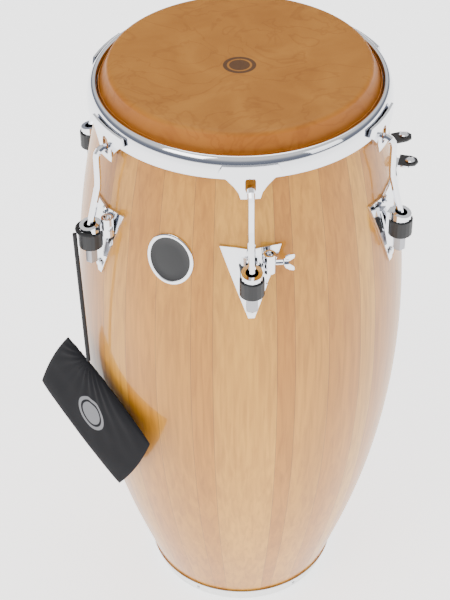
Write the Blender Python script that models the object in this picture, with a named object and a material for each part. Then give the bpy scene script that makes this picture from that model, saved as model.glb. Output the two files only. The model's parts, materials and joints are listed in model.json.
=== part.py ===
# Conga drum: stave shell, tuning crown with six hooks, side plates, wing screw, side bracket and pouch.
# Metres, +Z up. The origin is on the drum's axis at the floor, and the front faces -Y.
import bmesh
import bpy
from math import atan, cos, pi, radians, sin, sqrt
from mathutils import Matrix, Vector

# Driving dimensions of the drum
DRUM_HEIGHT = 0.762
BELLY_RADIUS = 0.1955
BELLY_HEIGHT = 0.430
MOUTH_RADIUS = 0.1475
MOUTH_HEIGHT = 0.755
FOOT_RADIUS = 0.1120
FOOT_STRAIGHT = 0.20
SHELL_WALL = 0.0140
SEGMENTS = 48
GAP = 0.0003
SEAT_GAP = 0.0004

# Foot band and the rubber ring inside it
BAND_HEIGHT = 0.0210
BAND_WALL = 0.0018
BAND_LIFT = 0.0010
RUBBER_HEIGHT = 0.0060

# Crown: skin, flesh hoop and rim
SKIN_WALL = 0.0018
HOOP_RADIUS = 0.1625
HOOP_SECTION = 0.0035
HOOP_BELOW_TOP = 0.0310
RIM_TOP_BELOW = 0.0180
RIM_EDGE_BELOW = 0.0421
RIM_EDGE_RADIUS = 0.1716
RIM_CREST_RADIUS = 0.1632
RIM_METAL = 0.0024
LIP_REACH = 0.0029

# Tuning lugs
LUG_COUNT = 6
LUG_OFFSET = 3.5
EAR_METAL = 0.0028
EAR_TOP_BELOW = 0.0257
EAR_HEIGHT = 0.0395
EAR_HALF_TOP = 0.0340
EAR_HALF_FOOT = 0.0105
SLOT_WIDTH = 0.0115
SLOT_FOOT_BELOW = 0.0592
SLOT_HEIGHT = 0.0222
ROD_RADIUS = 0.0040
HOOK_TOP_RADIUS = 0.1865
HOOK_TIP_RADIUS = 0.1676
HOOK_ARCH_BELOW = 0.0598
HOOK_TIP_DROP = 0.0035
BEND_TOP = 0.668
BEND_FOOT = 0.613
BARREL_AXIS = 0.2005
ROD_FOOT = 0.5715
PLATE_METAL = 0.0025
PLATE_TOP = 0.6375
PLATE_FOOT = 0.5490
PLATE_HALF = 0.0335
PLATE_DIP = 0.0040
BARREL_RADIUS = 0.0118
BARREL_BORE = 0.0072
BARREL_FOOT = 0.5910
BARREL_HEIGHT = 0.0280
BARREL_FLOOR = 0.0050
BARREL_SLANT = 0.20
BARREL_HOLE = 0.0052
WEB_HALF = 0.0060
PROTECTOR_WALL = 0.0016
PROTECTOR_HEIGHT = 0.0190
NUT_FLATS = 0.0127
NUT_LENGTH = 0.0215
BOLT_HEAD = 0.0052
BOLT_DOME = 0.0030
UPPER_BOLT_HEIGHT = 0.6300
LOWER_BOLT_HEIGHT = 0.5610

# Accessory boss on the front and left plates, and its wing screw
BOSS_OFFSET = 0.0195
BOSS_RADIUS = 0.0070
BOSS_BORE = 0.0048
BOSS_FOOT = 0.6110
BOSS_HEIGHT = 0.0235
BOSS_AXIS = 0.1885
WING_HEIGHT = 0.6225
WING_SHAFT = 0.0028
WING_SPAN = 0.0110
WING_REACH = 0.0095

# Badge, side bracket and pouch
BADGE_AZIMUTH = -25.1
BADGE_HEIGHT = 0.6100
BADGE_HALF_WIDTH = 0.0278
BADGE_HALF_HEIGHT = 0.0300
BADGE_METAL = 0.0016
BRACKET_AZIMUTH = 93.4
BRACKET_HEIGHT = 0.6340
BRACKET_METAL = 0.0030
PAD_HALF_SPACING = 0.0320
PAD_HALF_WIDTH = 0.0095
PAD_REACH = 0.0262
PAD_METAL = 0.0025
PAD_ROOT_INSET = 0.0100
PAD_SPLAY = 16.0
POUCH_AZIMUTH = -45.5
POUCH_PLANE = 0.2075
POUCH_ALONG = -0.0420
POUCH_HEIGHT = 0.3410
POUCH_LENGTH = 0.170
POUCH_WIDTH = 0.132
POUCH_THICK = 0.0120
POUCH_TILT = 29.7
CORD_RADIUS = 0.0025
WRAP_SECTION = 0.0022
NECK_SHARE = 0.50
LEFT_LUG = 5


def shell_radius(height):
    """Outer radius of the stave shell: a bowed profile whose last stretch above the foot is straight."""
    if height >= BELLY_HEIGHT:
        share = (height - BELLY_HEIGHT) / (MOUTH_HEIGHT - BELLY_HEIGHT)
        return BELLY_RADIUS - (BELLY_RADIUS - MOUTH_RADIUS) * share * share
    knee = 1 - FOOT_STRAIGHT
    share = (BELLY_HEIGHT - height) / BELLY_HEIGHT
    drop = share * share if share < knee else knee * knee + 2 * knee * (share - knee)
    whole = knee * knee + 2 * knee * FOOT_STRAIGHT
    return BELLY_RADIUS - (BELLY_RADIUS - FOOT_RADIUS) * drop / whole


def clear_scene():
    for item in list(bpy.data.objects):
        bpy.data.objects.remove(item)


def material(name, colour, roughness, metallic=0.0):
    made = bpy.data.materials.new(name)
    made.use_nodes = True
    shader = made.node_tree.nodes["Principled BSDF"]
    shader.inputs["Base Color"].default_value = (*colour, 1)
    shader.inputs["Roughness"].default_value = roughness
    shader.inputs["Metallic"].default_value = metallic
    return made


def mesh_from(name, points, faces):
    mesh = bpy.data.meshes.new(name)
    mesh.from_pydata(points, [], faces)
    work = bmesh.new()
    work.from_mesh(mesh)
    bmesh.ops.recalc_face_normals(work, faces=work.faces)
    work.to_mesh(mesh)
    work.free()
    return mesh


def place(name, mesh, finish, location=(0, 0, 0), turn=0.0):
    thing = bpy.data.objects.new(name, mesh)
    bpy.context.scene.collection.objects.link(thing)
    if not mesh.materials:
        mesh.materials.append(finish)
    mesh.shade_smooth()
    mesh.set_sharp_from_angle(angle=radians(35))
    thing.location = location
    thing.rotation_euler = (0, 0, turn)
    return thing


def turned(name, profile, sides=SEGMENTS):
    """A ring turned from a closed outline of (radius, height) points."""
    points = []
    for step in range(sides):
        angle = 2 * pi * step / sides
        points += [(r * sin(angle), -r * cos(angle), z) for r, z in profile]
    count = len(profile)
    faces = []
    for step in range(sides):
        after = (step + 1) % sides
        for i in range(count):
            j = (i + 1) % count
            faces.append((step * count + i, step * count + j, after * count + j, after * count + i))
    return mesh_from(name, points, faces)


def lofted(name, rings):
    """A closed solid through rings of equally many points, with a flat cap at each end."""
    count = len(rings[0])
    points = [point for ring in rings for point in ring]
    faces = [tuple(range(count)), tuple(range((len(rings) - 1) * count, len(rings) * count))]
    for level in range(len(rings) - 1):
        for i in range(count):
            j = (i + 1) % count
            faces.append((level * count + i, level * count + j, (level + 1) * count + j, (level + 1) * count + i))
    return mesh_from(name, points, faces)


def circle(radius, height, sides, centre=(0, 0), phase=0.0):
    return [
        (centre[0] + radius * sin(2 * pi * (i + phase) / sides), centre[1] - radius * cos(2 * pi * (i + phase) / sides), height)
        for i in range(sides)
    ]


def rod(name, route, radius, sides=8):
    """A round bar along a route in the YZ plane or any smooth route."""
    route = [Vector(point) for point in route]
    side = None
    rings = []
    for i, point in enumerate(route):
        ahead = (route[min(i + 1, len(route) - 1)] - route[max(i - 1, 0)]).normalized()
        if side is None:
            side = ahead.orthogonal().normalized() if abs(ahead.x) > 0.9 else Vector((1, 0, 0))
        side = (side - ahead * side.dot(ahead)).normalized()
        other = ahead.cross(side)
        rings.append(
            [tuple(point + side * radius * cos(2 * pi * k / sides) + other * radius * sin(2 * pi * k / sides)) for k in range(sides)]
        )
    return lofted(name, rings)


def wrapped(name, columns, rows, outline, inner, thickness):
    """A curved plate on a round surface. outline(u, v) gives arc offset and height, inner(height) the radius."""
    points = []
    for depth in (0.0, thickness):
        for j in range(rows + 1):
            for i in range(columns + 1):
                offset, height = outline(2 * i / columns - 1, j / rows)
                radius = inner(height) + depth
                angle = offset / radius
                points.append((radius * sin(angle), -radius * cos(angle), height))
    layer = (columns + 1) * (rows + 1)
    faces = []
    for j in range(rows):
        for i in range(columns):
            a = j * (columns + 1) + i
            quad = (a, a + 1, a + columns + 2, a + columns + 1)
            faces.append(quad)
            faces.append(tuple(layer + k for k in reversed(quad)))
    edge = [i for i in range(columns)]
    edge += [j * (columns + 1) + columns for j in range(rows)]
    edge += [rows * (columns + 1) + i for i in range(columns, 0, -1)]
    edge += [j * (columns + 1) for j in range(rows, 0, -1)]
    for k, a in enumerate(edge):
        b = edge[(k + 1) % len(edge)]
        faces.append((a, b, layer + b, layer + a))
    return mesh_from(name, points, faces)


def combined(name, base, steps):
    """The mesh left after each Boolean step on the base mesh."""
    body = bpy.data.objects.new(name, base)
    bpy.context.scene.collection.objects.link(body)
    helpers = []
    for operation, mesh in steps:
        helper = bpy.data.objects.new(mesh.name, mesh)
        bpy.context.scene.collection.objects.link(helper)
        modifier = body.modifiers.new(operation, "BOOLEAN")
        modifier.operation = operation
        modifier.solver = "EXACT"
        modifier.object = helper
        helpers.append(helper)
    graph = bpy.context.evaluated_depsgraph_get()
    graph.update()
    result = bpy.data.meshes.new_from_object(body.evaluated_get(graph))
    result.name = name
    result.materials.clear()
    for thing in [body, *helpers]:
        bpy.data.objects.remove(thing)
    return result


def lug_angles():
    return [radians(LUG_OFFSET + 360 / LUG_COUNT * i) for i in range(LUG_COUNT)]


def make_shell():
    base = RUBBER_HEIGHT + GAP
    top = DRUM_HEIGHT - SKIN_WALL - GAP
    levels = [base + (MOUTH_HEIGHT - 0.004 - base) * i / 13 for i in range(14)]
    outside = [(shell_radius(z), z) for z in levels]
    edge = MOUTH_RADIUS
    crown = [(edge - 0.0022, top - 0.0020), (edge - 0.0050, top), (edge - 0.0080, top)]
    inside = [(shell_radius(z) - SHELL_WALL, z) for z in reversed(levels[::3])]
    inside[0] = (edge - SHELL_WALL, top - 0.0060)
    return turned("shell", outside + crown + inside)


def make_foot():
    low = BAND_LIFT
    high = BAND_LIFT + BAND_HEIGHT
    inner = [(shell_radius(z) + SEAT_GAP, z) for z in (low, high)]
    outer = [(r + BAND_WALL, z) for r, z in reversed(inner)]
    band = turned("foot_band", inner + outer)
    outer_rubber = shell_radius(0) - GAP
    inner_rubber = shell_radius(0) - SHELL_WALL
    ring = [(inner_rubber, 0), (outer_rubber, 0), (outer_rubber, RUBBER_HEIGHT), (inner_rubber, RUBBER_HEIGHT)]
    return band, turned("foot_rubber", ring)


def make_skin():
    top = DRUM_HEIGHT
    hoop = top - HOOP_BELOW_TOP
    outer = HOOP_SECTION + GAP + SKIN_WALL
    trough = HOOP_SECTION + GAP
    edge = MOUTH_RADIUS + SKIN_WALL
    start = [(edge - 0.0075, top), (edge - 0.0025, top - 0.0018), (edge, top - 0.0062)]
    inner_start = [(MOUTH_RADIUS + GAP * 2, top - 0.0075), (MOUTH_RADIUS - 0.0025, top - SKIN_WALL)]
    arc = [radians(a) for a in (180, 225, 270, 315, 360)]
    under = [(HOOP_RADIUS + outer * cos(a), hoop + outer * sin(a)) for a in arc]
    over = [(HOOP_RADIUS + trough * cos(a), hoop + trough * sin(a)) for a in reversed(arc)]
    outside = start + [(HOOP_RADIUS - trough, hoop + 0.006)]
    path = outside + list(reversed(over)) + list(reversed(under)) + inner_start
    points = [(0.0, 0.0, top)]
    count = len(path)
    for step in range(SEGMENTS):
        angle = 2 * pi * step / SEGMENTS
        points += [(r * sin(angle), -r * cos(angle), z) for r, z in path]
    points.append((0.0, 0.0, top - SKIN_WALL))
    last = len(points) - 1
    faces = []
    for step in range(SEGMENTS):
        here = 1 + step * count
        after = 1 + (step + 1) % SEGMENTS * count
        faces.append((0, here, after))
        faces.append((last, after + count - 1, here + count - 1))
        for i in range(count - 1):
            faces.append((here + i, here + i + 1, after + i + 1, after + i))
    return mesh_from("head_skin", points, faces)


def make_hoop():
    height = DRUM_HEIGHT - HOOP_BELOW_TOP
    ring = [(HOOP_RADIUS + HOOP_SECTION * cos(pi * i / 4), height + HOOP_SECTION * sin(pi * i / 4)) for i in range(8)]
    return turned("flesh_hoop", ring)


def make_rim():
    crest = DRUM_HEIGHT - RIM_TOP_BELOW
    edge = DRUM_HEIGHT - RIM_EDGE_BELOW
    wide = RIM_EDGE_RADIUS - RIM_CREST_RADIUS
    tall = crest - edge
    outer = [(RIM_CREST_RADIUS + wide * cos(a), edge + tall * sin(a)) for a in (0, pi / 8, pi / 4, 3 * pi / 8, pi / 2)]
    inner = [
        (RIM_CREST_RADIUS + (wide - RIM_METAL) * cos(a), edge + (tall - RIM_METAL) * sin(a))
        for a in (pi / 2, 3 * pi / 8, pi / 4, pi / 8, 0)
    ]
    lip_foot = DRUM_HEIGHT - HOOP_BELOW_TOP + HOOP_SECTION + GAP
    lip = [
        (RIM_CREST_RADIUS - LIP_REACH * 0.7, crest - 0.0009),
        (RIM_CREST_RADIUS - LIP_REACH, crest - 0.0034),
        (RIM_CREST_RADIUS - LIP_REACH, lip_foot),
        (RIM_CREST_RADIUS - LIP_REACH + RIM_METAL, lip_foot),
    ]
    return turned("rim", outer + lip + inner)


def make_ear():
    top = DRUM_HEIGHT - EAR_TOP_BELOW
    seat = RIM_EDGE_RADIUS + GAP

    def outline(u, v):
        height = top - EAR_HEIGHT * v
        if v <= 0.2:
            half = EAR_HALF_TOP - 0.004 * (1 - v / 0.2)
        else:
            share = (v - 0.2) / 0.8
            half = EAR_HALF_FOOT + (EAR_HALF_TOP - EAR_HALF_FOOT) * (1 - share) ** 1.7
        return u * half, height

    plate = wrapped("rim_ear", 4, 5, outline, lambda height: seat, EAR_METAL)
    foot = DRUM_HEIGHT - SLOT_FOOT_BELOW
    half = SLOT_WIDTH / 2
    low = [(half * sin(a), foot + half - half * cos(a)) for a in (-pi / 2, -pi / 4, 0, pi / 4, pi / 2)]
    high = [(half * sin(a), foot + SLOT_HEIGHT - half + half * cos(a)) for a in (pi / 2, pi / 4, 0, -pi / 4, -pi / 2)]
    rings = [[(x, -radius, z) for x, z in low + high] for radius in (seat - 0.004, seat + EAR_METAL + 0.003)]
    return combined("rim_ear", plate, [("DIFFERENCE", lofted("slot", rings))])


def hook_route():
    arch = DRUM_HEIGHT - HOOK_ARCH_BELOW
    middle = (HOOK_TOP_RADIUS + HOOK_TIP_RADIUS) / 2
    bend = (HOOK_TOP_RADIUS - HOOK_TIP_RADIUS) / 2
    route = [(0, -HOOK_TIP_RADIUS, arch - HOOK_TIP_DROP)]
    route += [(0, -middle + bend * cos(pi * i / 7), arch + bend * sin(pi * i / 7)) for i in range(8)]
    lean = BARREL_AXIS - HOOK_TOP_RADIUS
    route += [(0, -HOOK_TOP_RADIUS, BEND_TOP + 0.006), (0, -HOOK_TOP_RADIUS - lean * 0.05, BEND_TOP - 0.004)]
    route += [(0, -BARREL_AXIS + lean * 0.05, BEND_FOOT + 0.004), (0, -BARREL_AXIS, BEND_FOOT - 0.006)]
    route += [(0, -BARREL_AXIS, ROD_FOOT)]
    return route


def plate_outline(u, v):
    reach = PLATE_TOP - PLATE_FOOT
    half = PLATE_HALF * (1 - v) + 0.0035 * v
    height = PLATE_TOP - reach * v - PLATE_DIP * (1 - abs(u)) ** 2 * (1 - v)
    return u * half, height


def barrel_profile(sides=16):
    rings = []
    top = BARREL_FOOT + BARREL_HEIGHT
    shape = [
        (BARREL_HOLE, BARREL_FOOT, 0), (BARREL_RADIUS, BARREL_FOOT, 0), (BARREL_RADIUS, top, 1),
        (BARREL_BORE, top, 1), (BARREL_BORE, BARREL_FOOT + BARREL_FLOOR, 0), (BARREL_HOLE, BARREL_FOOT + BARREL_FLOOR, 0),
    ]
    for radius, height, slanted in shape:
        ring = circle(radius, height, sides)
        rings.append([(x, y - BARREL_AXIS, z + slanted * BARREL_SLANT * y) for x, y, z in ring])
    points = [point for ring in rings for point in ring]
    faces = []
    for level in range(len(rings)):
        after = (level + 1) % len(rings)
        for i in range(sides):
            j = (i + 1) % sides
            faces.append((level * sides + i, level * sides + j, after * sides + j, after * sides + i))
    return mesh_from("barrel", points, faces)


def block(name, x0, x1, y0, y1, z0, z1):
    rings = [[(x0, y0, z), (x1, y0, z), (x1, y1, z), (x0, y1, z)] for z in (z0, z1)]
    return lofted(name, rings)


def make_plate(with_boss):
    def seat(height):
        return shell_radius(height) + SEAT_GAP

    base = wrapped("side_plate", 4, 5, plate_outline, seat, PLATE_METAL)
    near = seat(BARREL_FOOT) + PLATE_METAL * 0.5
    far = BARREL_AXIS - (BARREL_BORE + BARREL_RADIUS) / 2
    web = block("web", -WEB_HALF, WEB_HALF, -far, -near, BARREL_FOOT + 0.002, BARREL_FOOT + BARREL_HEIGHT - 0.002)
    steps = [("UNION", web), ("UNION", barrel_profile())]
    if with_boss:
        centre = (BOSS_OFFSET, -BOSS_AXIS)
        top = BOSS_FOOT + BOSS_HEIGHT
        post = lofted("boss", [circle(BOSS_RADIUS, z, 14, centre) for z in (BOSS_FOOT, top)])
        bore = lofted("bore", [circle(BOSS_BORE, z, 10, centre) for z in (BOSS_FOOT - 0.02, top + 0.01)])
        hole = [
            [(x, -BOSS_AXIS + r * cos(2 * pi * k / 8), WING_HEIGHT + r * sin(2 * pi * k / 8)) for k in range(8)]
            for x, r in ((BOSS_OFFSET, WING_SHAFT + GAP * 2), (BOSS_OFFSET + 0.02, WING_SHAFT + GAP * 2))
        ]
        steps += [("UNION", post), ("DIFFERENCE", bore), ("DIFFERENCE", lofted("screw_hole", hole))]
    return combined("side_plate_boss" if with_boss else "side_plate", base, steps)


def make_protector():
    """A rubber collar round the barrel, open at the back where the web passes."""
    inner = BARREL_RADIUS + GAP
    outer = inner + PROTECTOR_WALL
    open_half = radians(38)
    angles = [open_half + (2 * pi - 2 * open_half) * i / 14 for i in range(15)]
    ring = [(outer * sin(a), outer * cos(a)) for a in angles] + [(inner * sin(a), inner * cos(a)) for a in reversed(angles)]
    rings = [[(x, y - BARREL_AXIS, z) for x, y in ring] for z in (BARREL_FOOT - 0.0005, BARREL_FOOT + PROTECTOR_HEIGHT)]
    return lofted("shell_protector", rings)


def make_nut():
    """A hexagon sleeve nut round the rod's thread. Its origin is on the rod's axis."""
    corner = NUT_FLATS / 2 / cos(pi / 6)
    bore = ROD_RADIUS + GAP * 1.5
    outline = []
    for radius, height in ((bore, 0), (corner * 0.93, 0), (corner, 0.001), (corner, NUT_LENGTH), (bore, NUT_LENGTH)):
        outline.append([(radius * sin(pi * i / 6), -radius * cos(pi * i / 6), height) for i in range(12)])
        if radius >= corner * 0.93:
            flat = NUT_FLATS / 2 / corner * radius
            outline[-1] = [
                ((radius if i % 2 == 0 else flat) * sin(pi * i / 6), -(radius if i % 2 == 0 else flat) * cos(pi * i / 6), height)
                for i in range(12)
            ]
    points = [point for ring in outline for point in ring]
    faces = []
    for level in range(len(outline)):
        after = (level + 1) % len(outline)
        for i in range(12):
            j = (i + 1) % 12
            faces.append((level * 12 + i, level * 12 + j, after * 12 + j, after * 12 + i))
    return mesh_from("lug_nut", points, faces)


def make_bolt(height):
    """A domed bolt head lying on the plate, its face square to the plate."""
    slope = (shell_radius(height + 0.002) - shell_radius(height - 0.002)) / 0.004
    tilt = atan(-slope)
    seat = shell_radius(height) + SEAT_GAP + PLATE_METAL + GAP
    rings = []
    for radius, rise in ((BOLT_HEAD, 0), (BOLT_HEAD, 0.001), (BOLT_HEAD * 0.75, BOLT_DOME * 0.8), (BOLT_HEAD * 0.35, BOLT_DOME)):
        rings.append([(radius * cos(pi * k / 5), -rise, radius * sin(pi * k / 5)) for k in range(10)])
    mesh = lofted("plate_bolt", rings)
    mesh.transform(Matrix.Translation((0, -seat, height)) @ Matrix.Rotation(-tilt, 4, "X"))
    return mesh


def make_wing_screw():
    """The screw's axis is its own X axis. Its origin is where the shaft leaves the boss."""
    rings = []
    tip = -BOSS_RADIUS + BOSS_BORE + 0.0004
    for x, radius in ((tip, WING_SHAFT), (0.0075, WING_SHAFT), (0.0085, 0.0045), (0.0135, 0.0045)):
        rings.append([(x, radius * cos(pi * k / 4), radius * sin(pi * k / 4)) for k in range(8)])
    hub = lofted("wing_screw", rings)
    wings = []
    for side in (1, -1):
        rings = []
        for x, low, high in ((0.0100, 0.0020, 0.0070), (0.0145, 0.0020, 0.0100), (0.0190, 0.0055, WING_SPAN), (0.0105 + WING_REACH, 0.0075, WING_SPAN * 0.9)):
            rings.append([(x, -0.0011, side * low), (x, 0.0011, side * low), (x, 0.0011, side * high), (x, -0.0011, side * high)])
        wings.append(("UNION", lofted("wing", rings)))
    return combined("wing_screw", hub, wings)


def make_badge():
    points = []
    rings = ((0.0, 0.0), (0.55, 0.0), (1.0, 0.0), (1.0, BADGE_METAL * 0.7), (0.88, BADGE_METAL), (0.5, BADGE_METAL), (0.0, BADGE_METAL))
    sides = 20
    for share, rise in rings:
        for k in range(1 if share == 0 else sides):
            across = share * BADGE_HALF_WIDTH * sin(2 * pi * k / sides)
            height = BADGE_HEIGHT + share * BADGE_HALF_HEIGHT * cos(2 * pi * k / sides)
            radius = shell_radius(height) + SEAT_GAP + rise
            points.append((radius * sin(across / radius), -radius * cos(across / radius), height))
    faces = []
    last = len(points) - 1
    for k in range(sides):
        j = (k + 1) % sides
        faces.append((0, 1 + k, 1 + j))
        for level in range(len(rings) - 3):
            a = 1 + level * sides
            faces.append((a + k, a + sides + k, a + sides + j, a + j))
        end = 1 + (len(rings) - 3) * sides
        faces.append((last, end + j, end + k))
    return mesh_from("badge", points, faces)


def make_bracket():
    """A curved foot on the shell with two flat ears that carry the pads."""
    def seat(height):
        return shell_radius(height) + SEAT_GAP

    def outline(u, v):
        return u * (PAD_HALF_SPACING + PAD_HALF_WIDTH), BRACKET_HEIGHT - 0.022 * v

    foot = wrapped("side_bracket", 6, 2, outline, seat, BRACKET_METAL)
    steps = []
    for side in (-1, 1):
        steps.append(("UNION", tab("ear", side, BRACKET_HEIGHT - BRACKET_METAL, BRACKET_HEIGHT - 0.0005, 0.0, -0.002)))
    return combined("side_bracket", foot, steps)


def tab(name, side, low, high, start, shrink=0.0):
    """A flat tongue with a round end, splayed to one side. It starts a little way out from the shell."""
    turn = radians(PAD_SPLAY) * side
    base = shell_radius(BRACKET_HEIGHT) + SEAT_GAP + BRACKET_METAL * 0.4 + start
    half = PAD_HALF_WIDTH + shrink
    outline = [(-half, 0.0), (half, 0.0)]
    reach = PAD_REACH + shrink - half - start
    outline += [(half * cos(a), reach + half * sin(a)) for a in (0, pi / 4, pi / 2, 3 * pi / 4, pi)]
    rings = []
    for height in (low, high):
        ring = []
        for x, y in outline:
            across = x * cos(turn) + y * sin(turn)
            out = y * cos(turn) - x * sin(turn)
            centre = side * (PAD_HALF_SPACING - PAD_ROOT_INSET)
            ring.append((centre + across, -(sqrt(base * base - centre * centre) + out), height))
        rings.append(ring)
    return lofted(name, rings)


def pad_centre(side):
    turn = radians(PAD_SPLAY) * side
    base = shell_radius(BRACKET_HEIGHT) + SEAT_GAP + BRACKET_METAL * 0.4
    centre = side * (PAD_HALF_SPACING - PAD_ROOT_INSET)
    reach = PAD_REACH - PAD_HALF_WIDTH
    return centre + reach * sin(turn), -(sqrt(base * base - centre * centre) + reach * cos(turn))


def pouch_frame():
    angle = radians(POUCH_AZIMUTH)
    out = Vector((sin(angle), -cos(angle), 0))
    along = Vector((cos(angle), sin(angle), 0))
    centre = out * POUCH_PLANE + along * POUCH_ALONG + Vector((0, 0, POUCH_HEIGHT))
    return out, along, centre


def pouch_point(length, width, depth):
    """A point in the pouch's own directions: down its length, across its width and out from the drum."""
    out, along, centre = pouch_frame()
    tilt = radians(POUCH_TILT)
    down = along * cos(tilt) - Vector((0, 0, 1)) * sin(tilt)
    across = along * -sin(tilt) - Vector((0, 0, 1)) * cos(tilt)
    return centre + down * length + across * width + out * depth


def make_pouch():
    rings = []
    half = POUCH_LENGTH / 2
    for length, swell in ((-half, 0.25), (-half * 0.8, 0.75), (0, 1.0), (half * 0.8, 0.75), (half, 0.25)):
        thick = POUCH_THICK / 2 * swell
        wide = POUCH_WIDTH / 2
        ring = [(-wide, 0.3), (-wide * 0.7, 1), (wide * 0.7, 1), (wide, 0.3), (wide, -0.3), (wide * 0.7, -1), (-wide * 0.7, -1), (-wide, -0.3)]
        rings.append([tuple(pouch_point(length, w, d * thick)) for w, d in ring])
    return lofted("pouch", rings)


def pouch_neck():
    rise = CORD_RADIUS * sin(radians(POUCH_TILT)) + GAP
    return pouch_point(-POUCH_LENGTH / 2 * NECK_SHARE, -POUCH_WIDTH / 2 - rise, 0)


def wrap_height():
    return BARREL_FOOT + PROTECTOR_HEIGHT + GAP + CORD_RADIUS


def wrap_radius():
    return BARREL_RADIUS + GAP + CORD_RADIUS


def make_pouch_cord():
    """The drawstring, from the wrap on the left lug's barrel straight down to the pouch's neck."""
    angle = lug_angles()[LEFT_LUG]
    out = BARREL_AXIS + wrap_radius() + WRAP_SECTION + GAP + CORD_RADIUS
    top = Vector((out * sin(angle), -out * cos(angle), wrap_height()))
    neck = pouch_neck()
    return rod("pouch_cord", [tuple(neck + (top - neck) * i / 10) for i in range(11)], CORD_RADIUS)


def make_cord_wrap():
    height = wrap_height()
    radius = wrap_radius()
    first = radians(108)
    last = radians(318)
    route = []
    for i in range(15):
        angle = first + (last - first) * i / 14
        route.append((radius * sin(angle), radius * cos(angle) - BARREL_AXIS, height))
    return rod("cord_wrap", route, WRAP_SECTION, 6)


def build():
    clear_scene()
    lacquer = material("lacquered_wood", (0.66, 0.42, 0.20), 0.15)
    chrome = material("chrome", (0.80, 0.80, 0.82), 0.08, 1.0)
    steel = material("steel", (0.60, 0.60, 0.60), 0.3, 1.0)
    hide = material("rawhide", (0.62, 0.36, 0.13), 0.5)
    rubber = material("black_rubber", (0.02, 0.02, 0.02), 0.6)
    cloth = material("black_cloth", (0.015, 0.015, 0.017), 0.9)
    enamel = material("black_enamel", (0.02, 0.02, 0.02), 0.2)
    band, foot_ring = make_foot()
    place("shell", make_shell(), lacquer)
    place("foot_band", band, steel)
    place("foot_rubber", foot_ring, rubber)
    place("head_skin", make_skin(), hide)
    place("flesh_hoop", make_hoop(), steel)
    place("rim", make_rim(), chrome)
    ear = make_ear()
    hook = rod("tuning_hook", hook_route(), ROD_RADIUS)
    plain_plate = make_plate(False)
    boss_plate = make_plate(True)
    protector = make_protector()
    nut = make_nut()
    upper = make_bolt(UPPER_BOLT_HEIGHT)
    lower = make_bolt(LOWER_BOLT_HEIGHT)
    nut_height = BARREL_FOOT - 0.0005 - GAP - NUT_LENGTH
    for number, angle in enumerate(lug_angles(), 1):
        place(f"rim_ear_{number}", ear, chrome, turn=angle)
        place(f"tuning_hook_{number}", hook, chrome, turn=angle)
        place(f"side_plate_{number}", boss_plate if number in (1, 6) else plain_plate, chrome, turn=angle)
        place(f"shell_protector_{number}", protector, rubber, turn=angle)
        axis = (BARREL_AXIS * sin(angle), -BARREL_AXIS * cos(angle), nut_height)
        place(f"lug_nut_{number}", nut, steel, axis, angle)
        place(f"plate_bolt_upper_{number}", upper, chrome, turn=angle)
        place(f"plate_bolt_lower_{number}", lower, chrome, turn=angle)
    front = radians(LUG_OFFSET)
    side = BOSS_OFFSET + BOSS_RADIUS
    at = Matrix.Rotation(front, 4, "Z") @ Vector((side, -BOSS_AXIS, WING_HEIGHT))
    place("wing_screw", make_wing_screw(), chrome, at, front)
    place("badge", make_badge(), enamel, turn=radians(BADGE_AZIMUTH))
    bracket_turn = radians(BRACKET_AZIMUTH)
    place("side_bracket", make_bracket(), chrome, turn=bracket_turn)
    for number, end in ((1, -1), (2, 1)):
        low = BRACKET_HEIGHT - 0.0005 + GAP
        place(f"side_pad_{number}", tab("side_pad", end, low, low + PAD_METAL, 0.004), rubber, turn=bracket_turn)
        top = low + PAD_METAL + GAP
        disc = lofted("pad_screw", [circle(r, z, 12, pad_centre(end)) for r, z in ((0.0058, top), (0.0058, top + 0.0012), (0.0042, top + 0.0020))])
        place(f"pad_screw_{number}", disc, chrome, turn=bracket_turn)
    place("pouch", make_pouch(), cloth)
    place("pouch_cord", make_pouch_cord(), cloth)
    place("cord_wrap", make_cord_wrap(), cloth, turn=lug_angles()[LEFT_LUG])


build()
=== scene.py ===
# %% [markdown]
# # A conga drum, from its CAD frame to a studio picture
# The CAD model already has every plate, hook and nut at its real size. This lesson loads it,
# gives the turned parts a finer surface, replaces the cloth and cord, then lights and frames the drum.

# %% Load the CAD frame
import json
from math import atan2, cos, exp, pi, radians, sin, sqrt

import bpy
from mathutils import Matrix, Vector, noise


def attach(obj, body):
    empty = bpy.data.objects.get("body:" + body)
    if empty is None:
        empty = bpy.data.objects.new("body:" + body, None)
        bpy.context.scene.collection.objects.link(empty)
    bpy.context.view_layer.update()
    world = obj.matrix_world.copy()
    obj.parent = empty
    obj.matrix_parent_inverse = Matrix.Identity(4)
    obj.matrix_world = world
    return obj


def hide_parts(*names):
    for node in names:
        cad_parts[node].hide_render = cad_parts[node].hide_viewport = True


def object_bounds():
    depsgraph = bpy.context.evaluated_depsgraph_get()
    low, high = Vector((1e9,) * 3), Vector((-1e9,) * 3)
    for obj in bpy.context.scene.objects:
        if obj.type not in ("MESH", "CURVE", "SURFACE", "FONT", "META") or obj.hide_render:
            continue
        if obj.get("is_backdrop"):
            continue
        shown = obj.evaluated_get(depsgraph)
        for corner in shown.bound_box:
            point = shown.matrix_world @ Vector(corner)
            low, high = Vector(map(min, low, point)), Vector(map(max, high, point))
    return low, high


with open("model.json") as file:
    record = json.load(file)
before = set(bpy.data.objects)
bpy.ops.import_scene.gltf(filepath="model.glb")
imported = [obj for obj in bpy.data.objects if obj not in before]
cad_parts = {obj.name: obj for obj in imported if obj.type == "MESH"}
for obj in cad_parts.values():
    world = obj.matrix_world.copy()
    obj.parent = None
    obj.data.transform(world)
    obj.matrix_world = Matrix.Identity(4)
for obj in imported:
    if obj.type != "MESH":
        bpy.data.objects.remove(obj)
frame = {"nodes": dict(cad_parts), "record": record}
nodes = frame["nodes"]
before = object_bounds()

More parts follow.
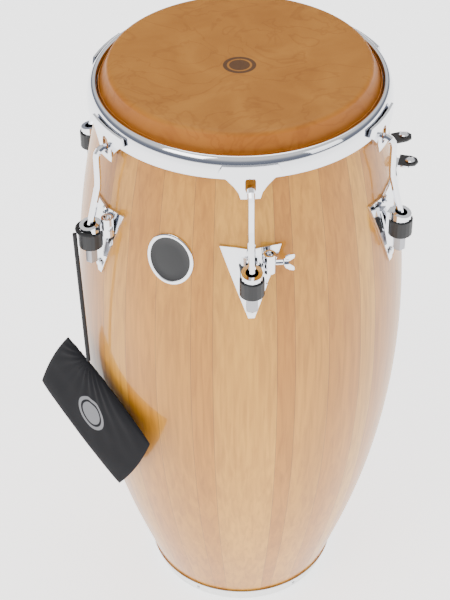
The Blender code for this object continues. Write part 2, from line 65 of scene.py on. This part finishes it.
# %% [markdown]
# ## Sizes
# These repeat the driving sizes of the CAD model, in metres, so that each finer surface
# passes through the faceted one's corners and rounds out the stretch between them.

# %% Sizes shared with the CAD model
TOP = 0.762
BELLY_RADIUS, BELLY_HEIGHT = 0.1955, 0.430
MOUTH_RADIUS, MOUTH_HEIGHT = 0.1475, 0.755
FOOT_RADIUS = 0.1120
KNEE = 0.80
WALL = 0.0140
HOOP_RADIUS, HOOP_SECTION, HOOP_HEIGHT = 0.1625, 0.0035, 0.731
SKIN_WALL = 0.0018
GAP = 0.0003
SEAT = 0.0004
SIDES = 192


def shell_radius(height):
    """Outer radius of the staves: bowed, with a straight run above the foot."""
    if height >= BELLY_HEIGHT:
        share = (height - BELLY_HEIGHT) / (MOUTH_HEIGHT - BELLY_HEIGHT)
        return BELLY_RADIUS - (BELLY_RADIUS - MOUTH_RADIUS) * share ** 2
    share = (BELLY_HEIGHT - height) / BELLY_HEIGHT
    drop = share ** 2 if share < KNEE else KNEE ** 2 + 2 * KNEE * (share - KNEE)
    return BELLY_RADIUS - (BELLY_RADIUS - FOOT_RADIUS) * drop / (KNEE ** 2 + 2 * KNEE * (1 - KNEE))


print("belly", 2 * shell_radius(BELLY_HEIGHT), "m across, foot", 2 * shell_radius(0), "m")

# %% [markdown]
# ## Helpers
# `turned` spins an outline round the drum's axis. `piece` puts a mesh on the CAD body it moves with and hides
# the CAD nodes it stands for.

# %% Mesh helpers
def turned(outline, angles):
    """Points and faces of a closed outline of (radius, height) spun through the given azimuths."""
    points = [(r * sin(a), -r * cos(a), z) for a in angles for r, z in outline]
    count = len(outline)
    faces = []
    for step in range(len(angles)):
        here, after = step * count, (step + 1) % len(angles) * count
        for i in range(count):
            j = (i + 1) % count
            faces.append((here + i, after + i, after + j, here + j))
    return points, faces


def piece(name, points, faces, body, slot, *stands_for):
    mesh = bpy.data.meshes.new(name)
    mesh.from_pydata(points, [], faces)
    mesh.validate()
    mesh.shade_smooth()
    mesh.set_sharp_from_angle(angle=radians(40))
    made = bpy.data.objects.new(name, mesh)
    bpy.context.scene.collection.objects.link(made)
    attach(made, body)
    if stands_for:
        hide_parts(*stands_for)
    return made


ROUND = [2 * pi * i / SIDES for i in range(SIDES)]
print(SIDES, "sides in each turned ring")

# %% [markdown]
# ## Materials
# Every finish is procedural. The lacquer is a clear coat over wood whose tone comes from a
# value stored on each stave, and whose grain is noise stretched along the drum.

# %% Material helpers
def shader(name, colour, roughness, metallic=0.0, coat=0.0):
    made = bpy.data.materials.new(name)
    made.use_nodes = True
    bsdf = made.node_tree.nodes["Principled BSDF"]
    bsdf.inputs["Base Color"].default_value = (*colour, 1)
    bsdf.inputs["Roughness"].default_value = roughness
    bsdf.inputs["Metallic"].default_value = metallic
    bsdf.inputs["Coat Weight"].default_value = coat
    bsdf.inputs["Coat Roughness"].default_value = 0.05
    return made, made.node_tree, bsdf


def noise_field(tree, scale, stretch, detail=4.0, distortion=0.0):
    """A noise texture in object space, in metres, stretched by three factors."""
    place = tree.nodes.new("ShaderNodeTexCoord")
    mapping = tree.nodes.new("ShaderNodeMapping")
    mapping.inputs["Scale"].default_value = stretch
    field = tree.nodes.new("ShaderNodeTexNoise")
    field.inputs["Scale"].default_value = scale
    field.inputs["Detail"].default_value = detail
    field.inputs["Distortion"].default_value = distortion
    tree.links.new(place.outputs["Object"], mapping.inputs["Vector"])
    tree.links.new(mapping.outputs["Vector"], field.inputs["Vector"])
    return field.outputs["Fac"]


def ramp(tree, source, stops):
    made = tree.nodes.new("ShaderNodeValToRGB")
    tree.links.new(source, made.inputs["Fac"])
    elements = made.color_ramp.elements
    while len(elements) < len(stops):
        elements.new(0.5)
    for element, (position, colour) in zip(elements, stops):
        element.position = position
        element.color = (*colour, 1)
    return made.outputs["Color"]


def mix(tree, share, first, second, kind="MIX"):
    made = tree.nodes.new("ShaderNodeMix")
    made.data_type = "RGBA"
    made.blend_type = kind
    for socket, value in (("Factor_Float", share), ("A_Color", first), ("B_Color", second)):
        target = next(s for s in made.inputs if s.identifier == socket)
        if isinstance(value, bpy.types.NodeSocket):
            tree.links.new(value, target)
        else:
            target.default_value = value if socket == "Factor_Float" else (*value, 1)
    return next(s for s in made.outputs if s.identifier == "Result_Color")


def bump(tree, bsdf, height, strength, distance):
    made = tree.nodes.new("ShaderNodeBump")
    made.inputs["Strength"].default_value = strength
    made.inputs["Distance"].default_value = distance
    tree.links.new(height, made.inputs["Height"])
    tree.links.new(made.outputs["Normal"], bsdf.inputs["Normal"])


# %% Lacquered staves
WOOD, tree, bsdf = shader("lacquered_wood", (0.6, 0.35, 0.14), 0.45, coat=0.45)
bsdf.inputs["Specular IOR Level"].default_value = 0.25
tone = tree.nodes.new("ShaderNodeAttribute")
tone.attribute_name = "stave_tone"
STAVE_COLOURS = [(0.0, (0.44, 0.150, 0.008)), (0.5, (0.64, 0.275, 0.022)), (1.0, (0.84, 0.450, 0.060))]
GRAIN_COLOURS = [(0.32, (0.70, 0.62, 0.52)), (0.62, (1.0, 1.0, 1.0))]
BROAD_COLOURS = [(0.3, (0.86, 0.80, 0.72)), (0.7, (1.04, 1.02, 1.0))]
base = ramp(tree, tone.outputs["Fac"], STAVE_COLOURS)
grain = ramp(tree, noise_field(tree, 30, (6.0, 6.0, 0.35), 6, 0.6), GRAIN_COLOURS)
broad = ramp(tree, noise_field(tree, 9, (2.2, 2.2, 0.30), 2), BROAD_COLOURS)
colour = mix(tree, 0.75, base, grain, "MULTIPLY")
colour = mix(tree, 1.0, colour, broad, "MULTIPLY")
joint = tree.nodes.new("ShaderNodeAttribute")
joint.attribute_name = "stave_joint"
colour = mix(tree, joint.outputs["Fac"], colour, (0.17, 0.075, 0.025))
tree.links.new(colour, bsdf.inputs["Base Color"])

# %% Rawhide, with its veins and a plain inked disc and ring near the centre
HIDE, tree, bsdf = shader("rawhide", (0.55, 0.30, 0.10), 0.5)
bsdf.inputs["Specular IOR Level"].default_value = 0.25
HIDE_COLOURS = [(0.3, (0.34, 0.125, 0.014)), (0.7, (0.45, 0.185, 0.026))]
VEIN_COLOURS = [(0.47, (1, 1, 1)), (0.5, (0.80, 0.72, 0.62)), (0.53, (1, 1, 1))]
blotch = ramp(tree, noise_field(tree, 14, (1, 1, 1), 5, 0.8), HIDE_COLOURS)
collar = mix(tree, 0.5, blotch, (0.42, 0.115, 0.008))
place = tree.nodes.new("ShaderNodeTexCoord")
split = tree.nodes.new("ShaderNodeSeparateXYZ")
tree.links.new(place.outputs["Object"], split.inputs["Vector"])
edge = tree.nodes.new("ShaderNodeMapRange")
edge.inputs["From Min"].default_value = TOP - 0.004
edge.inputs["From Max"].default_value = TOP - 0.0002
tree.links.new(split.outputs["Z"], edge.inputs["Value"])
colour = mix(tree, edge.outputs["Result"], collar, blotch)
vein = ramp(tree, noise_field(tree, 10, (1, 1, 1), 3, 2.2), VEIN_COLOURS)
colour = mix(tree, 0.6, colour, vein, "MULTIPLY")
INK_X, INK_Y = -0.0006, -0.0120
INK_HALF_WIDTH, INK_HALF_DEPTH = 0.0187, 0.0177
INK_SHARES = [
    (0.60, (0.85, 0.85, 0.85)), (0.64, (0.1, 0.1, 0.1)), (0.72, (0.1, 0.1, 0.1)),
    (0.76, (0.85, 0.85, 0.85)), (0.97, (0.85, 0.85, 0.85)), (1.0, (0, 0, 0)),
]
oval = tree.nodes.new("ShaderNodeMapping")
oval.inputs["Location"].default_value = (-INK_X / INK_HALF_WIDTH, -INK_Y / INK_HALF_DEPTH, 0)
oval.inputs["Scale"].default_value = (1 / INK_HALF_WIDTH, 1 / INK_HALF_DEPTH, 0)
reach = tree.nodes.new("ShaderNodeVectorMath")
reach.operation = "LENGTH"
tree.links.new(place.outputs["Object"], oval.inputs["Vector"])
tree.links.new(oval.outputs["Vector"], reach.inputs[0])
ink = ramp(tree, reach.outputs["Value"], INK_SHARES)
colour = mix(tree, ink, colour, (0.045, 0.022, 0.012))
tree.links.new(colour, bsdf.inputs["Base Color"])
bump(tree, bsdf, noise_field(tree, 220, (1, 1, 1), 3), 0.25, 0.0006)

# %% Metal, rubber and cloth
CHROME, _, _ = shader("chrome", (0.82, 0.83, 0.86), 0.07, 1.0)
STEEL, _, _ = shader("foot_steel", (0.74, 0.74, 0.73), 0.24, 1.0)
HOOP_STEEL, _, _ = shader("hoop_steel", (0.55, 0.55, 0.55), 0.35, 1.0)
NUT, _, _ = shader("nut_steel", (0.36, 0.36, 0.38), 0.30, 1.0)
RUBBER, _, _ = shader("rubber", (0.006, 0.006, 0.007), 0.5)
ENAMEL, _, _ = shader("badge_enamel", (0.004, 0.004, 0.005), 0.35)
CORD, _, _ = shader("cord", (0.012, 0.012, 0.013), 0.8)
CLOTH, tree, bsdf = shader("black_cloth", (0.006, 0.006, 0.008), 0.85)
bsdf.inputs["Specular IOR Level"].default_value = 0.2
bump(tree, bsdf, noise_field(tree, 900, (1, 1, 1), 2), 0.3, 0.0004)
reach = tree.nodes.new("ShaderNodeAttribute")
reach.attribute_name = "print_reach"
PRINTED, BARE = (1, 1, 1), (0, 0, 0)
PRINT_SHARES = [
    (0.0, PRINTED), (0.33, PRINTED), (0.34, BARE), (0.40, BARE),
    (0.41, PRINTED), (0.50, PRINTED), (0.51, BARE),
]
mark = ramp(tree, reach.outputs["Fac"], PRINT_SHARES)
printed_cloth = mix(tree, mark, (0.006, 0.006, 0.008), (0.22, 0.22, 0.23))
tree.links.new(printed_cloth, bsdf.inputs["Base Color"])
FINISHES = {
    "chrome": CHROME,
    "foot_steel": STEEL,
    "hoop_steel": HOOP_STEEL,
    "nut_steel": NUT,
    "rubber": RUBBER,
}
print(len(bpy.data.materials), "materials")

# %% [markdown]
# ## Hardware
# Plates, hooks, ears, nuts and bolts keep their CAD objects. Each one takes the finish of its
# slot in the record.

# %% Finish the CAD hardware
for part in frame["record"]["subparts"]:
    node = nodes[part["node"]]
    finish = FINISHES.get(part["material_slot"])
    if finish is None:
        continue
    node.data.materials.clear()
    node.data.materials.append(finish)
    node.data.shade_smooth()
    node.data.set_sharp_from_angle(angle=radians(35))
print("hardware finished")

# %% [markdown]
# ## The stave shell
# Staves of uneven widths run from foot to mouth. The edges in front follow the photograph, and
# the rest carry on in the same rhythm. A hair-thin dark face marks each glue joint.

# %% Turn the shell stave by stave
STAVES = [
    -17, -9.4, 12.1, 18.4, 31, 45, 53, 70, 82, 99, 108, 127, 139,
    150, 171, 184, 196, 214, 227, 246, 258, 276, 285, 305, 317, 330,
]
TONES = [
    0.50, 0.72, 0.35, 0.62, 0.45, 0.78, 0.40, 0.58, 0.30, 0.66, 0.52, 0.74, 0.38,
    0.60, 0.48, 0.70, 0.33, 0.55, 0.68, 0.42, 0.76, 0.50, 0.36, 0.64, 0.46, 0.58,
]
SHELL_LOW = 0.0063
JOINT = 0.0022
levels = [SHELL_LOW + (MOUTH_HEIGHT - 0.004 - SHELL_LOW) * i / 60 for i in range(61)]
outer = [(shell_radius(z), z) for z in levels]
crown = [
    (MOUTH_RADIUS - 0.0022, TOP - 0.0041),
    (MOUTH_RADIUS - 0.0050, TOP - 0.0021),
    (MOUTH_RADIUS - 0.0080, TOP - 0.0021),
]
inner = [(shell_radius(z) - WALL, z) for z in reversed(levels[::6])]
inner[0] = (MOUTH_RADIUS - WALL, TOP - 0.0081)
outline = outer + crown + inner
angles, tones, joints = [], [], []
for k, first in enumerate(STAVES):
    start, end = radians(first), radians(STAVES[(k + 1) % len(STAVES)] + (360 if k + 1 == len(STAVES) else 0))
    steps = max(2, round((end - start) / (2 * pi) * SIDES))
    angles += [start] + [start + JOINT + (end - start - JOINT) * i / steps for i in range(steps)]
    tones += [TONES[k]] * (steps + 1)
    joints += [1.0] + [0.0] * steps
points, faces = turned(outline, angles)
shell = piece("stave_shell", points, faces, "drum", "lacquered_wood", "shell")
for name, values in (("stave_tone", tones), ("stave_joint", joints)):
    field = shell.data.attributes.new(name, "FLOAT", "FACE")
    field.data.foreach_set("value", [value for value in values for _ in outline])
shell.data.materials.append(WOOD)
print(len(STAVES), "staves,", len(faces), "faces")

# %% [markdown]
# ## Foot, skin and rim
# The skin bends over the mouth, slopes out to the flesh hoop and wraps round it. The chrome rim
# is a quarter round that holds the hoop down.

# %% Turn the foot band, the skin and the rim
low, high = 0.0010, 0.0220
BAND_WALL, BAND_EASE, BAND_CHAMFER = 0.0018, 0.0014, 0.0006
band_outline = [(shell_radius(z) + SEAT, z) for z in (low, high)]
band_outline += [
    (shell_radius(high) + SEAT + BAND_EASE, high),
    (shell_radius(high) + SEAT + BAND_WALL, high - BAND_CHAMFER),
    (shell_radius(low) + SEAT + BAND_WALL, low + BAND_CHAMFER),
    (shell_radius(low) + SEAT + BAND_EASE, low),
]
band = piece("band", *turned(band_outline, ROUND), "drum", "foot_steel", "foot_band")
band.data.materials.append(STEEL)

edge = MOUTH_RADIUS + SKIN_WALL
trough, outside = HOOP_SECTION + GAP, HOOP_SECTION + GAP + SKIN_WALL
skin = [(0.0005, TOP), (0.05, TOP), (0.10, TOP), (0.13, TOP)]
bend = [pi * i / 16 for i in range(9)]
skin += [(edge - 0.0075 + 0.0075 * sin(a), TOP - 0.0062 + 0.0062 * cos(a)) for a in bend]
skin += [(HOOP_RADIUS - trough, HOOP_HEIGHT + 0.006)]
under = [pi + pi * i / 12 for i in range(13)]
back = [2 * pi - pi * i / 12 for i in range(13)]
skin += [(HOOP_RADIUS + trough * cos(a), HOOP_HEIGHT + trough * sin(a)) for a in under]
skin += [(HOOP_RADIUS + outside * cos(a), HOOP_HEIGHT + outside * sin(a)) for a in back]
skin += [
    (MOUTH_RADIUS + GAP * 2, TOP - 0.0075),
    (MOUTH_RADIUS - 0.0025, TOP - SKIN_WALL),
    (0.0005, TOP - SKIN_WALL),
]
head = piece("rawhide_head", *turned(skin, ROUND), "crown", "rawhide", "head_skin")
head.data.materials.append(HIDE)

crest, rim_edge, crest_radius = TOP - 0.0180, TOP - 0.0421, 0.1632
wide, tall, metal = 0.1716 - crest_radius, crest - rim_edge, 0.0024
arc = [pi / 2 * i / 10 for i in range(11)]
rim_outline = [(crest_radius + wide * cos(a), rim_edge + tall * sin(a)) for a in arc]
lip_foot = HOOP_HEIGHT + HOOP_SECTION + GAP
rim_outline += [(crest_radius - 0.0020, crest - 0.0009), (crest_radius - 0.0029, crest - 0.0034)]
rim_outline += [(crest_radius - 0.0029, lip_foot), (crest_radius - 0.0005, lip_foot)]
rim_outline += [
    (crest_radius + (wide - metal) * cos(a), rim_edge + (tall - metal) * sin(a))
    for a in reversed(arc)
]
rim = piece("tuning_rim", *turned(rim_outline, ROUND), "crown", "chrome", "rim")
rim.data.materials.append(CHROME)
print("rim", round(2 * crest_radius, 4), "m across its crest")

# %% [markdown]
# ## Torn edge of the hide
# Where the hide comes up between the hoop and the rim, its cut edge is left ragged.

# %% A ragged strip inside the rim
points, faces = [], []
for i, a in enumerate(ROUND):
    ragged = noise.noise(Vector((sin(a) * 9, cos(a) * 9, 0.3)))
    height = 0.7415 + 0.0022 * ragged
    lean = 0.0005 * noise.noise(Vector((sin(a) * 21, cos(a) * 21, 4.0)))
    for r, z in ((0.1582, 0.7372), (0.1580 + lean, height), (0.1572 + lean, height), (0.1574, 0.7372)):
        points.append((r * sin(a), -r * cos(a), z))
for i in range(SIDES):
    here, after = 4 * i, 4 * ((i + 1) % SIDES)
    for k in range(4):
        j = (k + 1) % 4
        faces.append((here + k, after + k, after + j, here + j))
fray = piece("hide_edge", points, faces, "crown", "rawhide")
fray.data.materials.append(HIDE)
print("ragged edge up to", round(max(p[2] for p in points), 4), "m")

# %% [markdown]
# ## Badge
# An oval badge with a raised silver border round a plain black face. It bends with the shell.

# %% Build the badge
BADGE_AZIMUTH, BADGE_HEIGHT = radians(-25.1), 0.610
BADGE_HALF = (0.0278, 0.0300)
profile = [
    (1.0, 0.0), (1.0, 0.0011), (0.97, 0.0016), (0.90, 0.0016),
    (0.87, 0.0011), (0.55, 0.0012), (0.25, 0.0013),
]
around = 96
points, faces, face_finish = [], [], []
for share, rise in profile:
    for k in range(around):
        across = share * BADGE_HALF[0] * sin(2 * pi * k / around)
        height = BADGE_HEIGHT + share * BADGE_HALF[1] * cos(2 * pi * k / around)
        radius = shell_radius(height) + SEAT + rise
        angle = across / radius + BADGE_AZIMUTH
        points.append((radius * sin(angle), -radius * cos(angle), height))
for level in range(len(profile) - 1):
    for k in range(around):
        j = (k + 1) % around
        a, b = level * around, (level + 1) * around
        faces.append((a + k, b + k, b + j, a + j))
        face_finish.append(0 if level < 4 else 1)
centre = len(points)
radius = shell_radius(BADGE_HEIGHT) + SEAT + 0.0013
points.append((radius * sin(BADGE_AZIMUTH), -radius * cos(BADGE_AZIMUTH), BADGE_HEIGHT))
last = (len(profile) - 1) * around
for k in range(around):
    faces.append((last + k, centre, last + (k + 1) % around))
    face_finish.append(1)
badge = piece("oval_badge", points, faces, "drum", "badge_enamel", "badge")
badge.data.materials.append(CHROME)
badge.data.materials.append(ENAMEL)
badge.data.polygons.foreach_set("material_index", face_finish)
print("badge", len(faces), "faces")

# %% [markdown]
# ## Cloth pouch
# A drawstring pouch hangs from the left lug. It is a soft bag, tilted, gathered where the cord
# enters, with a plain grey oval printed on its front.

# %% Shape the pouch
POUCH_LENGTH, POUCH_WIDTH, POUCH_THICK = 0.170, 0.132, 0.012
azimuth, tilt = radians(-45.5), radians(29.7)
out = Vector((sin(azimuth), -cos(azimuth), 0))
along = Vector((cos(azimuth), sin(azimuth), 0))
middle = out * 0.2075 + along * -0.042 + Vector((0, 0, 0.341))
down = along * cos(tilt) - Vector((0, 0, 1)) * sin(tilt)
across = along * -sin(tilt) - Vector((0, 0, 1)) * cos(tilt)
NECK = -POUCH_LENGTH / 4
columns, rows = ((96, 80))
points, faces, reaches = [], [], []
for side in (1, -1):
    for j in range(rows + 1):
        for i in range(columns + 1):
            u, v = 2 * i / columns - 1, 2 * j / rows - 1
            length = u * POUCH_LENGTH / 2 * (1 - 0.05 * v * v)
            width = v * POUCH_WIDTH / 2 * (1 - 0.05 * u * u)
            swell = sqrt(max(0.0, 1 - u ** 6)) * sqrt(max(0.0, 1 - v ** 6))
            fan = atan2(length - NECK, width + POUCH_WIDTH / 2 + 0.01)
            near = exp(-sqrt((length - NECK) ** 2 + (width + POUCH_WIDTH / 2) ** 2) / 0.045)
            rumple = noise.noise(Vector((length * 26, width * 26, side * 3.0)))
            crease = 0.0016 * near * sin(26 * fan) + 0.0011 * rumple
            depth = side * POUCH_THICK / 2 * 0.80 * swell + crease * swell
            points.append(middle + down * length + across * width + out * depth)
            reaches.append(min(1.0, 0.5 * sqrt((u / 0.27) ** 2 + (v / 0.36) ** 2)) if side == 1 else 1.0)
layer = (columns + 1) * (rows + 1)
for s, side in enumerate((1, -1)):
    for j in range(rows):
        for i in range(columns):
            a = s * layer + j * (columns + 1) + i
            quad = (a, a + 1, a + columns + 2, a + columns + 1)
            faces.append(quad if side == 1 else quad[::-1])
pouch = piece("cloth_pouch", points, faces, "pouch_swing", "black_cloth", "pouch")
pouch.data.materials.append(CLOTH)
field = pouch.data.attributes.new("print_reach", "FLOAT", "POINT")
field.data.foreach_set("value", reaches)
print("pouch", POUCH_LENGTH, "by", POUCH_WIDTH, "m")

# %% [markdown]
# ## Cord
# One drawstring runs in a straight line from the wrap on the left lug's barrel down to the pouch's neck, and
# the wrap itself goes round the barrel.

# %% Lay the cord
LUG = radians(303.5)
WRAP_HEIGHT, WRAP_RADIUS, BARREL_AXIS = 0.6128, 0.0146, 0.2005
hang = BARREL_AXIS + WRAP_RADIUS + 0.0022 + GAP + 0.0025
top = Vector((hang * sin(LUG), -hang * cos(LUG), WRAP_HEIGHT))
neck = middle + down * NECK - across * (POUCH_WIDTH / 2 + 0.0025 * sin(tilt) + GAP)


def cord_piece(name, route, radius, body, node):
    curve = bpy.data.curves.new(name, "CURVE")
    curve.dimensions = "3D"
    curve.bevel_depth = radius
    curve.bevel_resolution = 4
    curve.use_fill_caps = True
    spline = curve.splines.new("POLY")
    spline.points.add(len(route) - 1)
    for point, place in zip(spline.points, route):
        point.co = (*place, 1)
    made = bpy.data.objects.new(name, curve)
    bpy.context.scene.collection.objects.link(made)
    curve.materials.append(CORD)
    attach(made, body)
    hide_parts(node)
    return made


def lug_point(angle):
    """A point on the wrap, turned with the left lug."""
    x, y = WRAP_RADIUS * sin(angle), WRAP_RADIUS * cos(angle) - BARREL_AXIS
    return Vector((x * cos(LUG) - y * sin(LUG), x * sin(LUG) + y * cos(LUG), WRAP_HEIGHT))


string = [top + (neck - top) * i / 24 for i in range(25)]
wrap = [lug_point(radians(108) + radians(210) * i / 40) for i in range(41)]
drawstring = cord_piece("drawstring", string, 0.0025, "pouch_swing", "pouch_cord")
wrapping = cord_piece("barrel_wrap", wrap, 0.0022, "drum", "cord_wrap")

# %% [markdown]
# ## Small screws
# Two small screws hold the foot band at the front.

# %% Band screws
for number, bearing in enumerate((-29.0, 36.0), 1):
    angle = radians(bearing)
    radius = shell_radius(0.012) + SEAT + 0.0018
    spot = Matrix.Rotation(angle, 4, "Z") @ Matrix.Translation((0, -radius, 0.012))
    points, faces = [], []
    for size, rise in ((0.0022, -0.0006), (0.0022, 0.0003), (0.0012, 0.0006)):
        for k in range(16):
            points.append(spot @ Vector((size * cos(pi * k / 8), -rise, size * sin(pi * k / 8))))
    for level in range(2):
        for k in range(16):
            j = (k + 1) % 16
            faces.append((level * 16 + k, level * 16 + j, level * 16 + 16 + j, level * 16 + 16 + k))
    faces.append(tuple(range(32, 48)))
    faces.append(tuple(range(15, -1, -1)))
    screw = piece(f"band_screw_{number}", points, faces, "drum", "nut_steel")
    screw.data.materials.append(NUT)
print("band screws placed")

# %% [markdown]
# ## Studio
# A plain pale floor that glows a little, a broad soft light from the upper left, a weaker fill,
# a light from above, and a world that is bright above and cooler near the horizon, so that the
# chrome has something to reflect.

# %% Floor, lights and world
bpy.ops.mesh.primitive_plane_add(size=120, location=(0, 0, 0))
floor = bpy.context.object
floor.name = "floor"
PAPER, _, glow = shader("paper", (0.96, 0.96, 0.96), 0.9)
glow.inputs["Emission Color"].default_value = (1, 1, 1, 1)
glow.inputs["Emission Strength"].default_value = 1.9
floor.data.materials.append(PAPER)
floor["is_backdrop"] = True


def soft_light(name, place, size, power, aim=(0, 0, 0.4)):
    lamp = bpy.data.lights.new(name, "AREA")
    lamp.energy = power
    lamp.size = size
    made = bpy.data.objects.new(name, lamp)
    made.location = place
    made.rotation_euler = (Vector(aim) - Vector(place)).to_track_quat("-Z", "Y").to_euler()
    bpy.context.scene.collection.objects.link(made)
    return made


soft_light("key", (-1.6, -1.8, 2.6), 1.6, 40)
soft_light("fill", (2.2, -1.2, 1.6), 1.2, 10)
soft_light("top", (0.2, 0.8, 3.0), 1.8, 24)
world = bpy.data.worlds.new("studio")
bpy.context.scene.world = world
world.use_nodes = True
tree = world.node_tree
place = tree.nodes.new("ShaderNodeTexCoord")
split = tree.nodes.new("ShaderNodeSeparateXYZ")
tree.links.new(place.outputs["Generated"], split.inputs["Vector"])
SKY_COLOURS = [
    (0.0, (0.95, 0.95, 0.95)), (0.05, (0.16, 0.18, 0.24)),
    (0.30, (0.30, 0.32, 0.38)), (0.55, (1.0, 1.0, 1.0)),
]
sky = ramp(tree, split.outputs["Z"], SKY_COLOURS)
tree.links.new(sky, tree.nodes["Background"].inputs["Color"])
tree.nodes["Background"].inputs["Strength"].default_value = 0.95

# %% [markdown]
# ## Camera
# The camera was fitted to the circles of the head, rim and foot in the photograph.

# %% Camera
RIGHT = Vector((0.999954, 0.005546, -0.007827))
UP = Vector((0.002604, 0.628373, 0.777907))
FORWARD = Vector((-0.009233, 0.777892, -0.628330))
data = bpy.data.cameras.new("camera")
data.lens = 102
data.sensor_width = 36
camera = bpy.data.objects.new("camera", data)
bpy.context.scene.collection.objects.link(camera)
turn = Matrix((RIGHT, UP, -FORWARD)).transposed().to_4x4()
camera.matrix_world = Matrix.Translation((0, -1.62873, 1.73566)) @ turn
bpy.context.scene.camera = camera
print("camera at", tuple(round(v, 3) for v in camera.matrix_world.translation))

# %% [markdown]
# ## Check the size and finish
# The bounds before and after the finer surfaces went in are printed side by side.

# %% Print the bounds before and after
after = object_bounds()


def plain(value):
    return [plain(item) for item in value] if hasattr(value, "__len__") else float(value)


{"before": plain(before), "after": plain(after)}
print("before", plain(before), "after", plain(after))
